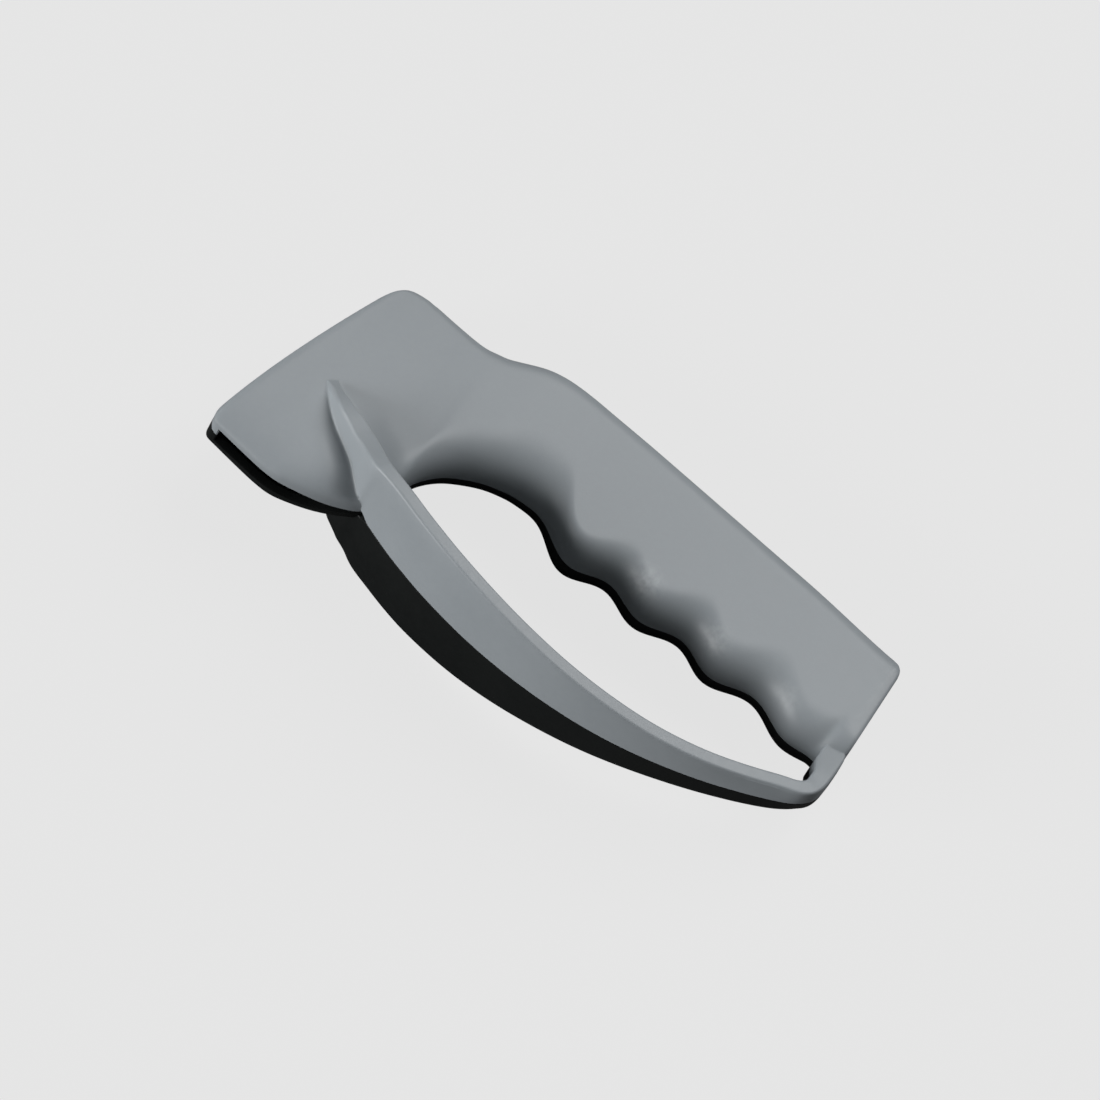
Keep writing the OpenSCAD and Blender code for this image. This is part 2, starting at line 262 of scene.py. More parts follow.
def faceCorners(rows, s, inset):
    # the two ends of the line across the face, each moved in square to its own edge
    row, runRows = lineAt(rows, s), shell["runRows"]
    before = lineAt(rows, max(0, s - runRows))
    after = lineAt(rows, min(len(rows) - 1, s + runRows))

    def run(k):
        return Vector((after[k] - before[k], after[k + 1] - before[k + 1])).normalized()

    size, lowRun, highRun = tool["length"], run(0), run(2)
    low = size * Vector((row[0], row[1])) + inset * Vector((-lowRun.y, lowRun.x))
    high = size * Vector((row[2], row[3])) + inset * Vector((highRun.y, -highRun.x))
    return low, high


def shellSection(rows, s, inset):
    # one ring over the face: the outer skin from the low edge to the back
    half, cut, steps = tool["gripHalf"], shell["chamfer"], shell["wallSteps"]
    row = lineAt(rows, s)
    low, high = faceCorners(rows, s, inset)
    line = (high - low).length
    along = (high - low) / line
    side = Vector((-along.y, along.x))
    mouth, slot = mouthHeight(row[0]), slotHeight(row[2])
    full = half * row[6] - inset
    edge = max(half * row[4] - inset, mouth + cut + shell["leastWall"])
    roll = half * row[5] - inset
    rounding = max(half * row[7] - inset, shell["leastRound"])
    middle = shell["chamferMiddle"] * cut
    profile = [(cut, mouth), (middle, mouth + middle)]
    for i in range(steps):
        profile.append((0, mouth + cut + (edge - mouth - cut) * i / steps))
    for i in range(shell["rollSteps"] + 1):
        # a steep start at the edge that runs out into the face with no visible crease
        t = (i / shell["rollSteps"]) ** shell["rollCrowd"]
        rise = (1 - (1 - t) ** shell["rollPower"]) ** 0.5
        profile.append((shell["rollReach"] * roll * t, edge + (full - edge) * rise))
    reach = shell["rollReach"] * roll
    for i in range(1, shell["flatSteps"]):
        profile.append((reach + (line - rounding - reach) * i / shell["flatSteps"], full))
    for i in range(shell["backSteps"] + 1):
        angle = math.pi / 2 * i / shell["backSteps"]
        out, up = rounding * math.sin(angle), rounding * math.cos(angle)
        profile.append((line - rounding + out, full - rounding + up))
    for i in range(1, steps):
        t = i / steps
        profile.append((line, (full - rounding) * (1 - t) + (slot + cut) * t))
    profile += [(line, slot + cut), (line - middle, slot + middle), (line - cut, slot)]
    ring = []
    for d, z in profile:
        t = d / line
        spot = low + along * d + side * (4 * t * (1 - t) * tool["length"] * row[8])
        ring.append(Vector((spot.x, spot.y, z)))
    return ring


def loftObject(name, rings):
    # a grid primitive whose rows of points are laid over the closed rings in turn
    across, along = len(rings[0]), len(rings) - 1
    bpy.ops.object.select_all(action="DESELECT")
    bpy.ops.mesh.primitive_grid_add(x_subdivisions=across, y_subdivisions=along, size=1)
    obj = bpy.context.object
    obj.name = name
    obj.data.name = name
    flat = []
    for ring in rings:
        for p in ring + [ring[0]]:
            flat += [p.x, p.y, p.z]
    obj.data.vertices.foreach_set("co", flat)
    obj.data.update()
    while obj.data.uv_layers:
        obj.data.uv_layers.remove(obj.data.uv_layers[0])
    return obj


def closeLoft(obj):
    # joins the seam and closes both ends
    editMesh(obj)
    bpy.ops.mesh.select_all(action="SELECT")
    bpy.ops.mesh.remove_doubles(threshold=tool["joinDistance"])
    bpy.ops.mesh.select_all(action="DESELECT")
    bpy.ops.mesh.select_non_manifold(extend=False, use_wire=True, use_boundary=True)
    bpy.ops.mesh.fill_holes(sides=0)
    bpy.ops.mesh.select_all(action="SELECT")
    bpy.ops.mesh.normals_make_consistent(inside=False)
    leaveEdit()
    return obj


def openCount(obj):
    editMesh(obj, "EDGE")
    bpy.ops.mesh.select_non_manifold(extend=False)
    leaveEdit()
    return sum(1 for e in obj.data.edges if e.select)


def shellPlaces(rows, hollowFrom, hollowTo):
    # every row, and a pair of places close together wherever the section jumps
    jumps = [hollowFrom, hollowTo]
    for column, ends in (
        (0, (shell["mouthStart"], shell["mouthEnd"])),
        (2, (shell["slotStart"], shell["slotEnd"])),
    ):
        jumps += [placeOf(rows, column, end / tool["length"]) for end in ends]
    places = [float(i) for i in range(len(rows))]
    for s in jumps:
        places += [s - shell["splitRows"], s + shell["splitRows"]]
    return sorted(set(round(s, 4) for s in places))


def onFloor(ring):
    return [Vector((p.x, p.y, shell["floorGap"])) for p in ring]


def makeHalfShell(name):
    rows = shellRows()
    hollowFrom = placeOf(rows, 0, shell["hollowStart"] / tool["length"])
    hollowTo = len(rows) - 1 - shell["hollowStop"] * shell["buttSteps"]
    foot = footLine()
    rings = []
    for s in shellPlaces(rows, hollowFrom, hollowTo):
        outer = shellSection(rows, s, 0)
        if hollowFrom < s < hollowTo:
            inner = shellSection(rows, s, shell["wall"])
            dipFace(inner, foot)
        else:
            inner = onFloor(outer)
        dipFace(outer, foot)
        rings.append(outer + inner[::-1])
    obj = loftObject(name, [onFloor(rings[0])] + rings + [onFloor(rings[-1])])
    return obj, [ring[: len(ring) // 2] for ring in rings]


def skinTree(skin):
    wide = len(skin[0])
    points = [p for ring in skin for p in ring]
    faces = []
    for i in range(len(skin) - 1):
        for k in range(i * wide, (i + 1) * wide - 1):
            faces.append((k, k + 1, k + wide + 1, k + wide))
    return BVHTree.FromPolygons(points, faces)


guard = {
    "wall": 3.5,
    "neckWall": 4.5,
    "neckRows": (7.5, 3.0),
    "neckFlare": 1.4,
    "flareRows": (3.4, 1.8),
    "finWider": 0.85,
    "widerAlong": (20.0, 27.0, 33.0, 41.0),
    "tipWall": 0.72,
    "tipTo": (12.0, 21.0),
    "capRows": 1.0,
    "capPinch": 0.97,
    "rimRound": 0.65,
    "tipRound": 0.25,
    "tipFrom": (14.0, 22.0),
    "steps": 9,
    "softenPasses": 10,
    "runSteps": 2,
    "footSteps": 7,
    "wallSteps": 4,
    "roundSteps": 6,
    "rimSteps": 5,
    # each wall: which way its outside faces, its foot's fillet, the notch under it, and where
    # along the tool it leaves the face to stand free
    "outer": {"facing": 1.0, "foot": 0.7, "notch": 1.25, "leaves": (37.0, 39.4)},
    "inner": {"facing": -1.0, "foot": 2.2, "notch": 0.0, "leaves": (38.5, 41.5)},
    "notchFrom": (39.3, 42.5),
    "leastRise": 0.05,
    "leastStem": 0.04,
    "overlap": 0.02,
    "roundShare": 0.6,
    "stemShare": 0.3,
    "stemFree": 0.5,
    "rootIn": 1.3,
    "rootDown": 1.5,
    "skyHeight": 60.0,
    # the foot of the outer wall, the rim's height over the joint, and how far the wall leans
    # in on the grey side and on the black side
    "path": [
        (11, 27.4, 6.2, 0.3, 0.3), (13.2, 25.4, 7.4, 0.3, 0.3), (15.2, 23.4, 9.2, 0.35, 0.35),
        (17.1, 21.6, 10.9, 0.4, 0.4), (19, 20, 12.2, 0.5, 0.5), (21.1, 18.5, 12.95, 0.6, 0.6),
        (23.2, 17.2, 13.4, 0.9, 0.7), (25.5, 16.1, 13.7, 0.75, 0.5), (27.8, 15, 14.1, 0.6, 0.2),
        (30, 13.9, 15, 0.65, -0.2), (31.9, 12.6, 16.1, 0.8, -0.4), (33.6, 11.3, 17.1, 0.9, 0.15),
        (35.3, 10.2, 17.9, 1.0, 0.5), (37.1, 9.25, 18.5, 1.2, 0.55), (40, 8.55, 19, 1.25, 0.5),
        (44, 7.28, 19, 1.55, -0.2), (50, 5.6, 18.7, 1.75, -0.1), (56, 4.32, 18.7, 1.7, -0.12),
        (64, 3, 18.35, 1.64, -0.1), (76, 1.95, 17.3, 1.5, 0.1), (88, 2, 15.6, 1.3, 0.3),
        (100, 3.1, 13.6, 1.05, 0.53), (112, 5.28, 11.6, 0.93, 0.7), (124, 8.8, 9.2, 0.88, 0.58),
        (136, 13.6, 7.2, 0.97, 0.42), (146, 18.72, 5.6, 1.3, 0.1), (153, 22.9, 5.15, 1.2, 0.3),
        (156.4, 25.3, 5.05, 0.6, 0.7), (158.2, 27.1, 5.05, 0.2, 0.9), (159.55, 29, 5.1, 0.2, 0.8),
        (160.1, 31.3, 5.3, 0.2, 0.5), (160.05, 34, 5.5, 0.2, 0.2), (159.8, 36.6, 5.9, 0.2, 0.2),
        (159.4, 39.4, 6.4, 0.2, 0.2), (159, 42, 6.9, 0.2, 0.2),
    ],
    # the sunk face beside the fin: its depth, where along the tool, how wide, and from what
    # height; the part of the face that can sink, and the end of the line it sinks along
    "dip": 1.3,
    "dipAlong": (15.0, 34.0),
    "dipReach": (3.0, 6.5),
    "dipBehind": (4.0, 13.0),
    "dipHeight": (3.5, 6.5),
    "dipStart": 0.3,
    "dipWithin": (9.0, 45.0, 32.0),
    "footEnd": 46.0,
    # creases that are eased: middle, reach and passes of each, and the height they start from
    "eased": [
        ((156.6, 40.0, 6.3), 3.0, 3),
        ((38.2, 8.9, 3.2), 2.2, 4),
        ((14.4, 24.4, 9.2), 2.6, 5),
    ],
    "easedFrom": 1.0,
}


def guardRows():
    count = (len(guard["path"]) - 1) * guard["steps"]
    rows = [curveAt(guard["path"], i / guard["steps"]) for i in range(count + 1)]
    return softened(rows, guard["softenPasses"])


def dipFace(ring, line):
    # the face sinks towards the foot of the fin, on both of its sides
    left, right, far = guard["dipWithin"]
    for p in ring:
        if not left < p.x < right or p.y > far or p.z < guard["dipHeight"][0]:
            continue
        here, inward = min(line, key=lambda place: (place[0] - p.xy).length_squared)
        away = -(p.xy - here).dot(inward)
        along = easeStep(*guard["dipAlong"], here.x)
        reach = guard["dipReach"][0] + (guard["dipReach"][1] - guard["dipReach"][0]) * along
        beside = easeStep(guard["dipStart"], reach, away)
        fade = 1 - (beside if away > 0 else easeStep(*guard["dipBehind"], -away))
        p.z -= guard["dip"] * along * fade * easeStep(*guard["dipHeight"], p.z)


def footLine():
    # points along the foot of the guard's outer wall, with the way in from each
    rows = guardRows()
    line = []
    for before, row, after in zip(rows, rows[1:], rows[2:]):
        run = Vector((after[0] - before[0], after[1] - before[1])).normalized()
        if row[0] < guard["footEnd"]:
            line.append((Vector(row[:2]), Vector((-run.y, run.x))))
    return line


def guardWidth(i, count, x):
    # thin at the fin's tip, wider at its foot, thicker at the neck, flared at the very end
    neckFrom, neckTo = (count - rows * guard["steps"] for rows in guard["neckRows"])
    flareFrom, flareTo = (count - rows * guard["steps"] for rows in guard["flareRows"])
    widerFrom, widerFull, widerStill, widerStop = guard["widerAlong"]
    wide = guard["wall"] + (guard["neckWall"] - guard["wall"]) * easeStep(neckFrom, neckTo, i)
    wide += guard["neckFlare"] * easeStep(flareFrom, flareTo, i)
    foot = easeStep(widerFrom, widerFull, x)
    wide += guard["finWider"] * foot * (1 - easeStep(widerStill, widerStop, x))
    return wide * (guard["tipWall"] + (1 - guard["tipWall"]) * easeStep(*guard["tipTo"], x))


def guardWall(tree, wall, here, inward, start, lean, half):
    # one side of a section, from under its foot up to the rim
    gap, cut, facing, x = shell["floorGap"], shell["chamfer"], wall["facing"], here.x

    def faceHeight(p, fallback):
        hit = tree.ray_cast(Vector((p.x, p.y, guard["skyHeight"])), Vector((0, 0, -1)))
        return hit[0].z if hit[0] is not None else fallback

    def at(n, z):
        spot = here + inward * (start + facing * n)
        return Vector((spot.x, spot.y, z))

    def leanAt(z):
        return lean * (z - base) / (half - base)

    free = easeStep(*wall["leaves"], x)
    onFace = 1 - free
    lifted = wall["notch"] * (1 - easeStep(*guard["notchFrom"], x))
    base = faceHeight(here + inward * start, gap) * onFace + (gap + cut + lifted) * free
    base = min(base, half - guard["leastRise"])
    rise = half - base
    radius = min(wall["foot"], guard["roundShare"] * rise) * onFace
    blunt = guard["rimRound"] + guard["tipRound"] * (1 - easeStep(*guard["tipFrom"], x))
    corner = min(blunt, guard["roundShare"] * rise)
    stem = max(radius, guard["stemShare"] * rise) if free > guard["stemFree"] else radius
    top = min(base + stem, half - corner - guard["overlap"])
    top = max(base + guard["leastStem"], top)
    reach = here + inward * (start - facing * radius)
    reachZ = faceHeight(reach, base) - guard["overlap"] if onFace > 0 else base
    reachZ = reachZ * onFace + base * free
    under = (base - guard["rootDown"]) * onFace + (gap + lifted) * free
    points = [at(guard["rootIn"] * onFace + cut * free, max(gap, under))]
    p0, p1, p2 = Vector((-radius, reachZ)), Vector((leanAt(base), base)), Vector((leanAt(top), top))
    for k in range(guard["footSteps"]):
        t = k / guard["footSteps"]
        q = (1 - t) ** 2 * p0 + 2 * t * (1 - t) * p1 + t * t * p2
        points.append(at(q.x, q.y))
    for k in range(guard["wallSteps"] + 1):
        z = top + (half - corner - top) * k / guard["wallSteps"]
        points.append(at(leanAt(z), z))
    for k in range(1, guard["roundSteps"] + 1):
        angle = math.pi / 2 * k / guard["roundSteps"]
        n = lean + corner * (1 - math.cos(angle))
        points.append(at(n, half - corner + corner * math.sin(angle)))
    return points


def guardSection(rows, i, tree, side):
    # one ring across the guard: outer wall, rim, inner wall
    count = len(rows) - 1
    row, skip = rows[i], guard["runSteps"]
    before, after = rows[max(0, i - skip)], rows[min(count, i + skip)]
    run = Vector((after[0] - before[0], after[1] - before[1])).normalized()
    inward = Vector((-run.y, run.x))
    here, half, lean = Vector((row[0], row[1])), row[2], row[side["leanColumn"]]
    raised = easeStep(*side["liftFrom"], here.x) * (1 - easeStep(*side["liftTo"], here.x))
    half += side["lift"] * raised
    wide = guardWidth(i, count, here.x)
    capLength = guard["capRows"] * guard["steps"]
    capPart = max(0, 1 - i / capLength, 1 - (count - i) / capLength)
    pinch = (1 - guard["capPinch"] * math.sqrt(1 - capPart ** 2)) * (lean + wide) / 2
    outer = guardWall(tree, guard["outer"], here, inward, pinch, lean, half)
    inner = guardWall(tree, guard["inner"], here, inward, lean + wide - pinch, 0, half)
    rim = [outer[-1].lerp(inner[-1], k / guard["rimSteps"]) for k in range(1, guard["rimSteps"])]
    return outer + rim + inner[::-1]


def makeGuard(name, tree, side):
    rows = guardRows()
    rings = [guardSection(rows, i, tree, side) for i in range(len(rows))]
    return closeLoft(loftObject(name, rings))


def applyBoolean(obj, other, operation):
    selectOnly(obj)
    cutter = obj.modifiers.new("cut", "BOOLEAN")
    cutter.operation = operation
    cutter.solver = "MANIFOLD"
    cutter.object = other
    before = len(obj.data.polygons)
    bpy.ops.object.modifier_apply(modifier=cutter.name)
    print(operation.lower(), other.name, before, "to", len(obj.data.polygons), "faces")
    bpy.data.objects.remove(other, do_unlink=True)


def flipAcross(obj):
    obj.data.transform(Matrix.Scale(-1, 4, (0, 0, 1)))
    obj.data.flip_normals()


def layDown(obj):
    obj.data.transform(layDownMatrix)
    obj.data.update()


# the black lip in front of the head, and the rounded corner by the mouth
lip = {
    "wall": 0.95,
    "drop": 0.9,
    "clearance": 0.05,
    "reachOut": 2.0,
    "depth": 1.0,
    "steps": 34,
    "cornerSteps": 12,
    "topRound": 0.25,
    "cornerEnd": (2.6, -0.15),
    "cornerPull": (-0.05, 0.0),
    "cornerShare": 0.045,
    "lowAtCorner": 0.12,
    "rises": (0.012, 0.048),
    "overBy": 0.35,
    "cutAway": (-6.0, -6.0),
    "cutHalf": 20.0,
}


def frontLine(t):
    # the point a share t of the way along the head's front edge
    size = tool["length"]
    row = shell["head"][0]
    low, high = size * Vector((row[0], row[1])), size * Vector((row[2], row[3]))
    along = (high - low).normalized()
    side = Vector((-along.y, along.x))
    return low + (high - low) * t + side * (4 * t * (1 - t) * size * row[8])


def frontPath():
    # round the corner by the mouth, then up the front edge
    start, pull = Vector(lip["cornerEnd"]), Vector(lip["cornerPull"])
    end = frontLine(lip["cornerShare"])
    path = []
    for i in range(lip["cornerSteps"]):
        t = i / lip["cornerSteps"]
        path.append((1 - t) ** 2 * start + 2 * t * (1 - t) * pull + t * t * end)
    for i in range(lip["steps"] + 1):
        path.append(frontLine(lip["cornerShare"] + (1 - lip["cornerShare"]) * i / lip["steps"]))
    return path


def lipTop(place, share):
    # the lip's height: low at the corner, then a little under the grey edge
    size, half, row = tool["length"], tool["gripHalf"], shell["head"][0]
    edge, roll, full = half * row[4], half * row[5], half * row[6]
    reach = max(0, min(1, (place - size * Vector((row[0], row[1]))).length / roll))
    over = easeStep(0.0, lip["overBy"], reach)
    top = edge + (full - edge) * math.sqrt(1 - (1 - reach) ** 2) * over - lip["drop"]
    return lip["lowAtCorner"] + (top - lip["lowAtCorner"]) * easeStep(*lip["rises"], share)


def makeLip(name, grow, out):
    path = frontPath()
    low, bend = -lip["depth"], lip["topRound"]
    inner, outer = -lip["wall"] - grow, out
    rings = []
    for i, place in enumerate(path):
        run = (path[min(len(path) - 1, i + 1)] - path[max(0, i - 1)]).normalized()
        side = Vector((-run.y, run.x))
        share = (place - path[0]).length / (path[-1] - path[0]).length
        top = lipTop(place, share) + grow
        ring = [
            (inner, low), (inner, top - bend), (inner + bend, top),
            (outer - bend, top), (outer, top - bend), (outer, low),
        ]
        rings.append([Vector((place.x + side.x * n, place.y + side.y * n, z)) for n, z in ring])
    return closeLoft(loftObject(name, rings))


def makeCornerCut(name):
    # what lies outside the rounded corner, as one upright block
    half = lip["cutHalf"]
    rings = []
    for place in frontPath()[: lip["cornerSteps"] + 1]:
        far = place + Vector(lip["cutAway"])
        rings.append([
            Vector((place.x, place.y, -half)), Vector((place.x, place.y, half)),
            Vector((far.x, far.y, half)), Vector((far.x, far.y, -half)),
        ])
    return closeLoft(loftObject(name, rings))


screws = {
    "places": [(0.231, 0.194), (0.288, 0.344), (0.613, 0.356), (0.9, 0.352)],
    "reach": 5.8,
    "tipRoom": 0.7,
    "shankRadius": 1.4,
    "shankOverlap": 0.2,
    "headRadius": 2.7,
    "headHeight": 1.8,
    "sink": 3.0,
    "bossTop": 8.2,
    "clearance": 0.05,
    "past": 1.0,
    "shankLow": -8.0,
    "sinkLow": -14.0,
    "sides": 64,
    "crossWidth": 0.62,
    "crossLength": 3.1,
    "crossDepth": 1.0,
    "crossTaper": 0.6,
    "tipRound": 0.4,
    "headRound": 0.64,
}


def applyScale():
    bpy.ops.object.transform_apply(location=True, rotation=True, scale=True)
    return bpy.context.object


def addCylinder(name, radius, low, high, x=0.0, y=0.0):
    bpy.ops.object.select_all(action="DESELECT")
    middle = (x, y, (high + low) / 2)
    bpy.ops.mesh.primitive_cylinder_add(
        vertices=screws["sides"], radius=radius, depth=high - low, location=middle,
    )
    obj = applyScale()
    obj.name = name
    return obj


def addBlock(name, middle, size):
    bpy.ops.object.select_all(action="DESELECT")
    bpy.ops.mesh.primitive_cube_add(size=1, location=middle, scale=size)
    obj = applyScale()
    obj.name = name
    return obj


def easeCrease(obj, middle, reach, times):
    # eases the crease between two joined forms round one place
    editMesh(obj)
    leaveEdit()
    centre = Vector(middle)
    for v in obj.data.vertices:
        v.select = (v.co - centre).length < reach and v.co.z > guard["easedFrom"]
    bpy.ops.object.mode_set(mode="EDIT")
    bpy.ops.mesh.vertices_smooth(factor=0.5, repeat=times)
    leaveEdit()


def makeShell(name, side):
    obj, skin = makeHalfShell(name)
    closeLoft(obj)
    fin = makeGuard(name + "Guard", skinTree(skin), side)
    print(name, "open edges: shell", openCount(obj), "guard", openCount(fin))
    applyBoolean(obj, fin, "UNION")
    for place in guard["eased"]:
        easeCrease(obj, *place)
    size, floor = tool["length"], shell["floorGap"]
    for x, y in screws["places"]:
        radius, top = side["bossRadius"], screws["bossTop"]
        boss = addCylinder(name + "Boss", radius, floor, top, x * size, y * size)
        applyBoolean(obj, boss, "UNION")
    if side["post"]:
        # the block that the cutter holder rests on
        low, high = (Vector(end) for end in side["post"])
        applyBoolean(obj, addBlock(name + "Post", (low + high) / 2, high - low), "UNION")
    applyBoolean(obj, makeCornerCut(name + "Corner"), "DIFFERENCE")
    return obj


# what tells the two shells apart: the guard's lean, how much higher its rim stands and where
# that starts and stops, the bosses, and the corners of the holder's post
shellSides = {
    "grey": {
        "leanColumn": 3, "lift": 0.8, "liftFrom": (37, 49), "liftTo": (90, 140),
        "bossRadius": 2.9, "post": None,
    },
    "black": {
        "leanColumn": 4, "lift": 1.5, "liftFrom": (23, 30), "liftTo": (31, 38),
        "bossRadius": 4.5, "post": ((25.0, 11.0, 4.35), (33.0, 17.0, 7.0)),
    },
}

upper = makeShell("greyShell", shellSides["grey"])
lower = makeShell("blackShell", shellSides["black"])
flipAcross(lower)
applyBoolean(upper, makeLip("lipCut", lip["clearance"], lip["reachOut"]), "DIFFERENCE")
applyBoolean(lower, makeLip("lipRim", 0, 0), "UNION")
shankHole = screws["shankRadius"] + screws["clearance"]
for x, y in screws["places"]:
    for obj, name, radius, low, high in (
        (upper, "shankHole", shankHole, -screws["past"], screws["reach"] + screws["tipRoom"]),
        (lower, "shankHole", shankHole, screws["shankLow"], screws["past"]),
        (lower, "sinkHole", screws["sink"], screws["sinkLow"], -screws["reach"]),
    ):
        hole = addCylinder(name, radius, low, high, x * tool["length"], y * tool["length"])
        applyBoolean(obj, hole, "DIFFERENCE")
print("shells joined:", len(upper.data.polygons), len(lower.data.polygons), "faces")


def selectWhere(obj, test):
    # selects the vertices that pass, and what they span
    editMesh(obj)
    leaveEdit()
    picked = [test(v.co) for v in obj.data.vertices]
    for v, on in zip(obj.data.vertices, picked):
        v.select = on
    for e in obj.data.edges:
        e.select = picked[e.vertices[0]] and picked[e.vertices[1]]
    for f in obj.data.polygons:
        f.select = all(picked[k] for k in f.vertices)
    bpy.ops.object.mode_set(mode="EDIT")


def makeScrew():
    # drawn at the joint's centre, head towards the dark side
    reach, near = screws["reach"], tool["hair"]
    top = -reach - screws["headHeight"]
    screw = addCylinder("caseScrews", screws["headRadius"], top, -reach)
    selectWhere(screw, lambda co: co.z < top + near)
    bpy.ops.mesh.bevel(offset=screws["headRound"], segments=5, affect="EDGES")
    leaveEdit()
    shank = addCylinder("screwShank", screws["shankRadius"], -reach - screws["shankOverlap"], reach)
    selectWhere(shank, lambda co: co.z > reach - near)
    bpy.ops.mesh.bevel(offset=screws["tipRound"], segments=2, affect="EDGES")
    leaveEdit()
    applyBoolean(screw, shank, "UNION")
    long, wide, deep = screws["crossLength"], screws["crossWidth"], 2 * screws["crossDepth"]
    taper = screws["crossTaper"]
    for size in ((long, wide, deep), (wide, long, deep)):
        arm = addBlock("crossArm", (0, 0, top), size)
        selectWhere(arm, lambda co: co.z > top)
        bpy.ops.transform.resize(value=(taper, taper, 1), center_override=(0, 0, top))
        leaveEdit()
        applyBoolean(screw, arm, "DIFFERENCE")
    return screw


firstScrew = makeScrew()
copies = []
for x, y in screws["places"]:
    copy = firstScrew.copy()
    copy.data = firstScrew.data.copy()
    copy.data.transform(Matrix.Translation((x * tool["length"], y * tool["length"], 0)))
    bpy.context.collection.objects.link(copy)
    copies.append(copy)
bpy.data.objects.remove(firstScrew, do_unlink=True)
selectOnly(copies[0])
for copy in copies:
    copy.select_set(True)
bpy.ops.object.join()
caseScrews = bpy.context.object
caseScrews.name = "caseScrews"
print("screws:", len(caseScrews.data.polygons), "faces")

cutters = {
    "length": 14.0,
    "width": 2.4,
    "thickness": 2.4,
    "angle": 20.0,
    "cross": 31.0,
    "frontShare": 0.6,
    "places": [("frontCutter", 11.0, 1), ("rearCutter", 14.6, -1)],
    "bevel": 0.22,
    "working": 0.5,
}


def makeCutter(name, y, side):
    # a ground bar with small bevels and a wider one along its working edge
    long, wide, thick = cutters["length"], cutters["width"], cutters["thickness"]
    middle = ((0.5 - cutters["frontShare"]) * long, thick / 2, 0)
    bar = addBlock(name, middle, (long, thick, wide))
    inside = thick if side > 0 else 0
    selectWhere(bar, lambda co: co.z * side > 0 and abs(co.y - inside) < tool["hair"])
    bpy.ops.mesh.bevel(offset=cutters["working"], segments=1, affect="EDGES")
    bpy.ops.mesh.select_all(action="SELECT")
    bpy.ops.mesh.bevel(offset=cutters["bevel"], segments=2, affect="EDGES")
    bpy.ops.mesh.normals_make_consistent(inside=False)
    leaveEdit()
    turn = Matrix.Rotation(math.radians(side * cutters["angle"]), 4, "Y")
    bar.data.transform(Matrix.Translation((cutters["cross"], y, 0)) @ turn)
    return bar


frontCutter, rearCutter = [makeCutter(*place) for place in cutters["places"]]
print("cutters:", len(frontCutter.data.polygons) + len(rearCutter.data.polygons), "faces")

for obj in (upper, lower, caseScrews, frontCutter, rearCutter):
    layDown(obj)
    selectOnly(obj)
    bpy.ops.object.shade_smooth_by_angle(angle=math.radians(tool["smoothDegrees"]))
print("shells laid down:", len(upper.data.polygons), len(lower.data.polygons), "faces")


class Num:
    # a socket that can be used in sums
    def __init__(self, maker, socket):
        self.maker, self.socket = maker, socket

    def maths(self, operation, other):
        return self.maker.node("ShaderNodeMath", {"operation": operation}, {0: self, 1: other})

    def __add__(self, other):
        return self.maths("ADD", other)

    def __mul__(self, other):
        return self.maths("MULTIPLY", other)


# noise stays mostly between these two values
noiseRange = {"From Min": 0.3, "From Max": 0.7}
# the sockets that a Mix node uses for colours
mixSockets = {"factor": 0, "a": 6, "b": 7, "result": 2}


class Finish:
    # one material and its nodes
    def __init__(self, name):
        self.material = bpy.data.materials.new(name)
        self.material.use_nodes = True
        self.tree = self.material.node_tree
        self.tree.nodes.clear()

    def node(self, kind, settings=None, inputs=None, output=0):
        made = self.tree.nodes.new(kind)
        for key, value in (settings or {}).items():
            setattr(made, key, value)
        for key, value in (inputs or {}).items():
            if isinstance(value, Num):
                self.tree.links.new(value.socket, made.inputs[key])
            else:
                made.inputs[key].default_value = value
        return Num(self, made.outputs[output]) if len(made.outputs) else None

    def place(self):
        return self.node("ShaderNodeTexCoord", output="Object")

    def noise(self, scale, detail, roughness):
        return self.node("ShaderNodeTexNoise", {}, {
            "Vector": self.place(), "Scale": scale, "Detail": detail, "Roughness": roughness,
        })

    def spread(self, value, low, high):
        limits = {"Value": value, **noiseRange, "To Min": low, "To Max": high}
        return self.node("ShaderNodeMapRange", {}, limits)

    def shade(self, factor, a, b):
        # a blend of two colours, each a value or a socket
        a, b = (c if isinstance(c, Num) else (*c, 1) for c in (a, b))
        colours = {mixSockets["factor"]: factor, mixSockets["a"]: a, mixSockets["b"]: b}
        return self.node("ShaderNodeMix", {"data_type": "RGBA"}, colours, mixSockets["result"])

    def bump(self, strength, distance, height):
        return self.node("ShaderNodeBump", {}, {
            "Strength": strength, "Distance": distance, "Height": height,
        })

    def finish(self, values):
        shader = self.node("ShaderNodeBsdfPrincipled", {}, values)
        self.node("ShaderNodeOutputMaterial", {}, {"Surface": shader})
        return self.material


plastics = {
    # scale, detail and roughness of each noise
    "cloud": (38.0, 3.0, 0.55),
    "speck": (650.0, 2.0, 0.6),
    "grain": (2600.0, 2.0, 0.5),
    "grainHeight": 0.00003,
    "cloudInColour": 0.75,
    "cloudInRoughness": 0.5,
    # deep and light colour, roughness from and to, grain strength, specular level
    "grey": ((0.248, 0.272, 0.290), (0.275, 0.300, 0.318), 0.40, 0.52, 0.35, 0.45),
    "black": ((0.0056, 0.0064, 0.0064), (0.0088, 0.0098, 0.0096), 0.40, 0.50, 0.35, 0.12),
    "dark": ((0.0088, 0.0098, 0.0096), (0.012, 0.013, 0.013), 0.50, 0.62, 0.4, 0.3),
    # painted highlights on the swells between the fingers, a paler colour where the light's gloss
    # falls: middle and reach of each
    "paintedHighlights": [((97.5, 37.8, 10.3), 7.5), ((118.1, 38.4, 10.3), 7.0), ((138.8, 38.8, 10.3), 6.5)],
    "highlightTone": (0.470, 0.495, 0.510),
    "highlightSpecks": (0.25, 1.0),
    "highlightShare": 0.9,
}
